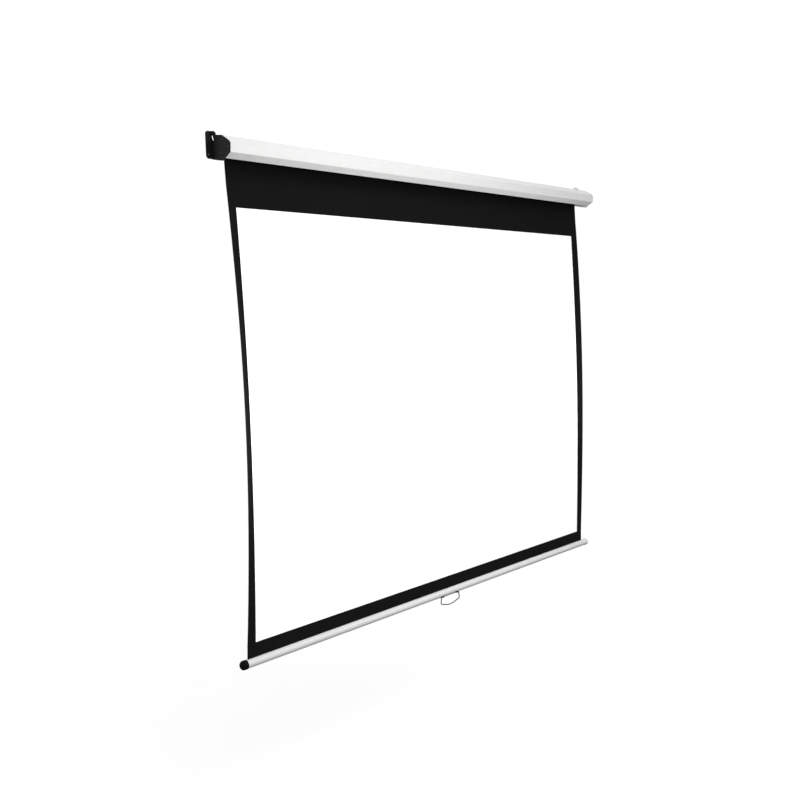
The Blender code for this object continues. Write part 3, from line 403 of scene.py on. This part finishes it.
def make_wound_sheet():
    """Turns that stay on the roller: one spiral, from where the hanging part starts down to the tube."""
    bm = bmesh.new()
    layer = bm.loops.layers.uv.new("flat")
    y, z = ROLLER_AXIS
    stations = divided([-FABRIC_HALF, FABRIC_HALF], WOUND_COLUMN_COUNTS)
    steps = WOUND_TURNS * WOUND_STEPS
    outer = TUBE_RADIUS + (WOUND_TURNS + 0.5) * FABRIC_WALL
    spiral = []
    for index in range(steps + 1):
        angle = WOUND_START + (2 * math.pi * WOUND_TURNS - WOUND_START) * index / steps
        radius = outer - FABRIC_WALL * angle / (2 * math.pi)
        spiral.append((y + radius * math.cos(angle), z + radius * math.sin(angle)))
    lengths = [0.0]
    for first, last in zip(spiral, spiral[1:]):
        lengths.append(lengths[-1] + math.dist(first, last))
    verts = [[bm.verts.new((x, *point)) for x in stations] for point in spiral]
    for row in range(steps):
        for column in range(len(stations) - 1):
            corners = ((row, column), (row, column + 1), (row + 1, column + 1), (row + 1, column))
            face = bm.faces.new([verts[r][c] for r, c in corners])
            for loop, (r, c) in zip(face.loops, corners):
                loop[layer].uv = (stations[c], lengths[r])
    wound = new_piece("wound_sheet", bm, [BLACK_BACKING])
    wall = wound.modifiers.new("cloth", "SOLIDIFY")
    wall.thickness = WOUND_WALL
    wall.offset = 0.0
    settle(wound)
    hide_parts("fabric_wrap")
    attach(wound, "roller")


def make_cross_screw(name, tip_x, seat_x, spot):
    """Pan head screw with a cross recess, from its tip to the seat of its head."""
    side = 1 if seat_x > tip_x else -1
    shank = abs(seat_x - tip_x)
    head, height, core = SCREW_HEAD_RADIUS, SCREW_HEAD_HEIGHT, SCREW_RADIUS
    profile = [(0.0, shank + height)]
    for degrees in range(90 - SCREW_DOME_STEP, -1, -SCREW_DOME_STEP):
        angle = math.radians(degrees)
        level = SCREW_RIM + (1 - SCREW_RIM) * math.sin(angle)
        profile.append((head * math.cos(angle), shank + height * level))
    profile += [(head, shank), (core, shank), (core, core), (core * SCREW_TIP_SHARE, 0.0), (0.0, 0.0)]
    bm = bmesh.new()
    ring = [bm.verts.new((radius, 0, level)) for radius, level in profile]
    edges = [bm.edges.new(pair) for pair in zip(ring, ring[1:])]
    bmesh.ops.spin(
        bm, geom=ring + edges, cent=(0, 0, 0), axis=(0, 0, 1), angle=2 * math.pi, steps=SCREW_STEPS
    )
    bmesh.ops.remove_doubles(bm, verts=bm.verts, dist=0.00001)
    bmesh.ops.recalc_face_normals(bm, faces=bm.faces)
    piece = new_piece(name, bm, [MATERIALS["dark_steel"]])
    recess = bmesh.new()
    for turn in (0, math.pi / 2):
        made = bmesh.ops.create_cube(recess, size=1.0)["verts"]
        bmesh.ops.scale(recess, vec=RECESS_SIZE, verts=made)
        bmesh.ops.rotate(recess, cent=(0, 0, 0), matrix=Matrix.Rotation(turn, 3, "Z"), verts=made)
    bmesh.ops.translate(recess, vec=(0, 0, shank + height + RECESS_RAISE), verts=recess.verts)
    cutter = new_piece(name + "_recess", recess, [])
    step = piece.modifiers.new("recess", "BOOLEAN")
    step.operation = "DIFFERENCE"
    step.solver = "EXACT"
    step.use_self = True
    step.object = cutter
    settle(piece, sharp_degrees=30)
    bpy.data.objects.remove(cutter, do_unlink=True)
    piece.location = (tip_x, *spot)
    piece.rotation_euler = (SCREW_TURN, side * math.pi / 2, 0)
    return piece


def make_cap_screws():
    """Detailed screws in place of the plain ones in the end caps."""
    for label, side in (("left", -1), ("right", 1)):
        for index in (1, 2, 3):
            node = f"{label}_cap_screw_{index}"
            low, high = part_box(node)
            spot = ((low.y + high.y) / 2, (low.z + high.z) / 2)
            tip, seat = (low.x, high.x - SCREW_HEAD_HEIGHT)
            if side < 0:
                tip, seat = (high.x, low.x + SCREW_HEAD_HEIGHT)
            piece = make_cross_screw(f"{label}_cross_screw_{index}", tip, seat, spot)
            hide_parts(node)
            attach(piece, "housing")


def make_handle():
    """Bent wire bail, smooth along its whole length."""
    low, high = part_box("handle")
    pivot = Vector((0, (low.y + high.y) / 2, high.z - WIRE_RADIUS))
    left = [(-x, z) for x, z in HANDLE_CORNERS]
    corners = left + list(HANDLE_CORNERS[-2::-1])
    bends = HANDLE_BENDS + HANDLE_BENDS[-2::-1]
    points = [corners[0]]
    for before, corner, after, bend in zip(corners, corners[1:], corners[2:], bends):
        points += bent(before, corner, after, bend)
    points.append(corners[-1])
    curve = bpy.data.curves.new("wire_handle", "CURVE")
    curve.dimensions = "3D"
    curve.bevel_depth = WIRE_RADIUS
    curve.bevel_resolution = WIRE_RESOLUTION
    curve.use_fill_caps = True
    spline = curve.splines.new("POLY")
    spline.points.add(len(points) - 1)
    for point, (x, z) in zip(spline.points, points):
        point.co = (x, 0.0, z, 1.0)
    draft = bpy.data.objects.new("wire_handle_draft", curve)
    bpy.context.scene.collection.objects.link(draft)
    depsgraph = bpy.context.evaluated_depsgraph_get()
    depsgraph.update()
    mesh = bpy.data.meshes.new_from_object(draft.evaluated_get(depsgraph))
    bpy.data.objects.remove(draft, do_unlink=True)
    mesh.materials.clear()
    mesh.materials.append(MATERIALS["wire_steel"])
    mesh.shade_smooth()
    mesh.set_sharp_from_angle(angle=math.radians(40))
    handle = bpy.data.objects.new("wire_handle", mesh)
    bpy.context.scene.collection.objects.link(handle)
    handle.location = pivot
    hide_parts("handle")
    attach(handle, "handle")


def bent(before, corner, after, radius):
    """Points of a round bend between two straight runs."""
    corner = Vector(corner)
    back = (Vector(before) - corner).normalized()
    ahead = (Vector(after) - corner).normalized()
    opening = back.angle(ahead)
    limit = 0.49 * min((Vector(before) - corner).length, (Vector(after) - corner).length)
    reach = min(radius / math.tan(opening / 2), limit)
    true_radius = reach * math.tan(opening / 2)
    centre = corner + (back + ahead).normalized() * true_radius / math.sin(opening / 2)
    first = corner + back * reach - centre
    last = corner + ahead * reach - centre
    sweep = math.pi - opening
    points = []
    for index in range(BEND_STEPS + 1):
        share = index / BEND_STEPS
        a = math.sin((1 - share) * sweep) / math.sin(sweep)
        b = math.sin(share * sweep) / math.sin(sweep)
        points.append(tuple(centre + first * a + last * b))
    return points


def make_camera():
    """Camera where the photograph was taken from."""
    ahead = Vector((
        math.sin(CAMERA_YAW) * math.cos(CAMERA_PITCH),
        math.cos(CAMERA_YAW) * math.cos(CAMERA_PITCH),
        math.sin(CAMERA_PITCH),
    ))
    level = Vector((math.cos(CAMERA_YAW), -math.sin(CAMERA_YAW), 0))
    upright = level.cross(ahead)
    right = level * math.cos(CAMERA_ROLL) + upright * math.sin(CAMERA_ROLL)
    up = upright * math.cos(CAMERA_ROLL) - level * math.sin(CAMERA_ROLL)
    data = bpy.data.cameras.new("camera")
    data.lens = CAMERA_LENS
    data.sensor_width = CAMERA_SENSOR
    data.shift_x, data.shift_y = CAMERA_SHIFT
    data.clip_start, data.clip_end = CAMERA_CLIP
    camera = bpy.data.objects.new("camera", data)
    bpy.context.scene.collection.objects.link(camera)
    turned = Matrix((right, up, -ahead)).transposed().to_4x4()
    camera.matrix_world = Matrix.Translation(CAMERA_PLACE) @ turned
    bpy.context.scene.camera = camera


def make_light(name, place, target, power, size):
    """Soft area light aimed at a point."""
    data = bpy.data.lights.new(name, "AREA")
    data.shape = "RECTANGLE"
    data.size, data.size_y = size
    data.energy = power
    light = bpy.data.objects.new(name, data)
    bpy.context.scene.collection.objects.link(light)
    light.location = place
    light.rotation_mode = "QUATERNION"
    light.rotation_quaternion = (Vector(target) - Vector(place)).to_track_quat("-Z", "Y")
    light.visible_camera = False


def make_studio():
    """Plain pale floor, soft white surroundings and studio lights."""
    world = bpy.data.worlds.new("studio")
    world.use_nodes = True
    tree = world.node_tree
    background = tree.nodes["Background"]
    direction = tree.nodes.new("ShaderNodeTexCoord").outputs["Generated"]
    parts = tree.nodes.new("ShaderNodeSeparateXYZ")
    tree.links.new(direction, parts.inputs["Vector"])
    height = add(tree, "ShaderNodeMapRange", From_Min=WORLD_FADE[0], From_Max=WORLD_FADE[1])
    tree.links.new(parts.outputs["Z"], height.inputs["Value"])
    shades = mixed(tree, height.outputs["Result"], WORLD_LOW, WORLD_HIGH)
    tree.links.new(shades, background.inputs["Color"])
    bpy.context.scene.world = world
    bpy.context.scene.view_settings.view_transform = "Standard"
    bm = bmesh.new()
    bmesh.ops.create_grid(bm, x_segments=1, y_segments=1, size=FLOOR_SIZE)
    paint = mottled("floor", (0.99, 0.99, 0.99), (1.0, 1.0, 1.0), (0.80, 0.90), patch=2.0)
    floor = new_piece("studio_floor", bm, [paint])
    floor.location.z = FLOOR_Z
    floor.visible_diffuse = False
    floor.visible_glossy = False
    for light in LIGHTS:
        make_light(*light)


dress_nodes()
make_screen()
make_wound_sheet()
make_cap_screws()
make_handle()
make_camera()
make_studio()
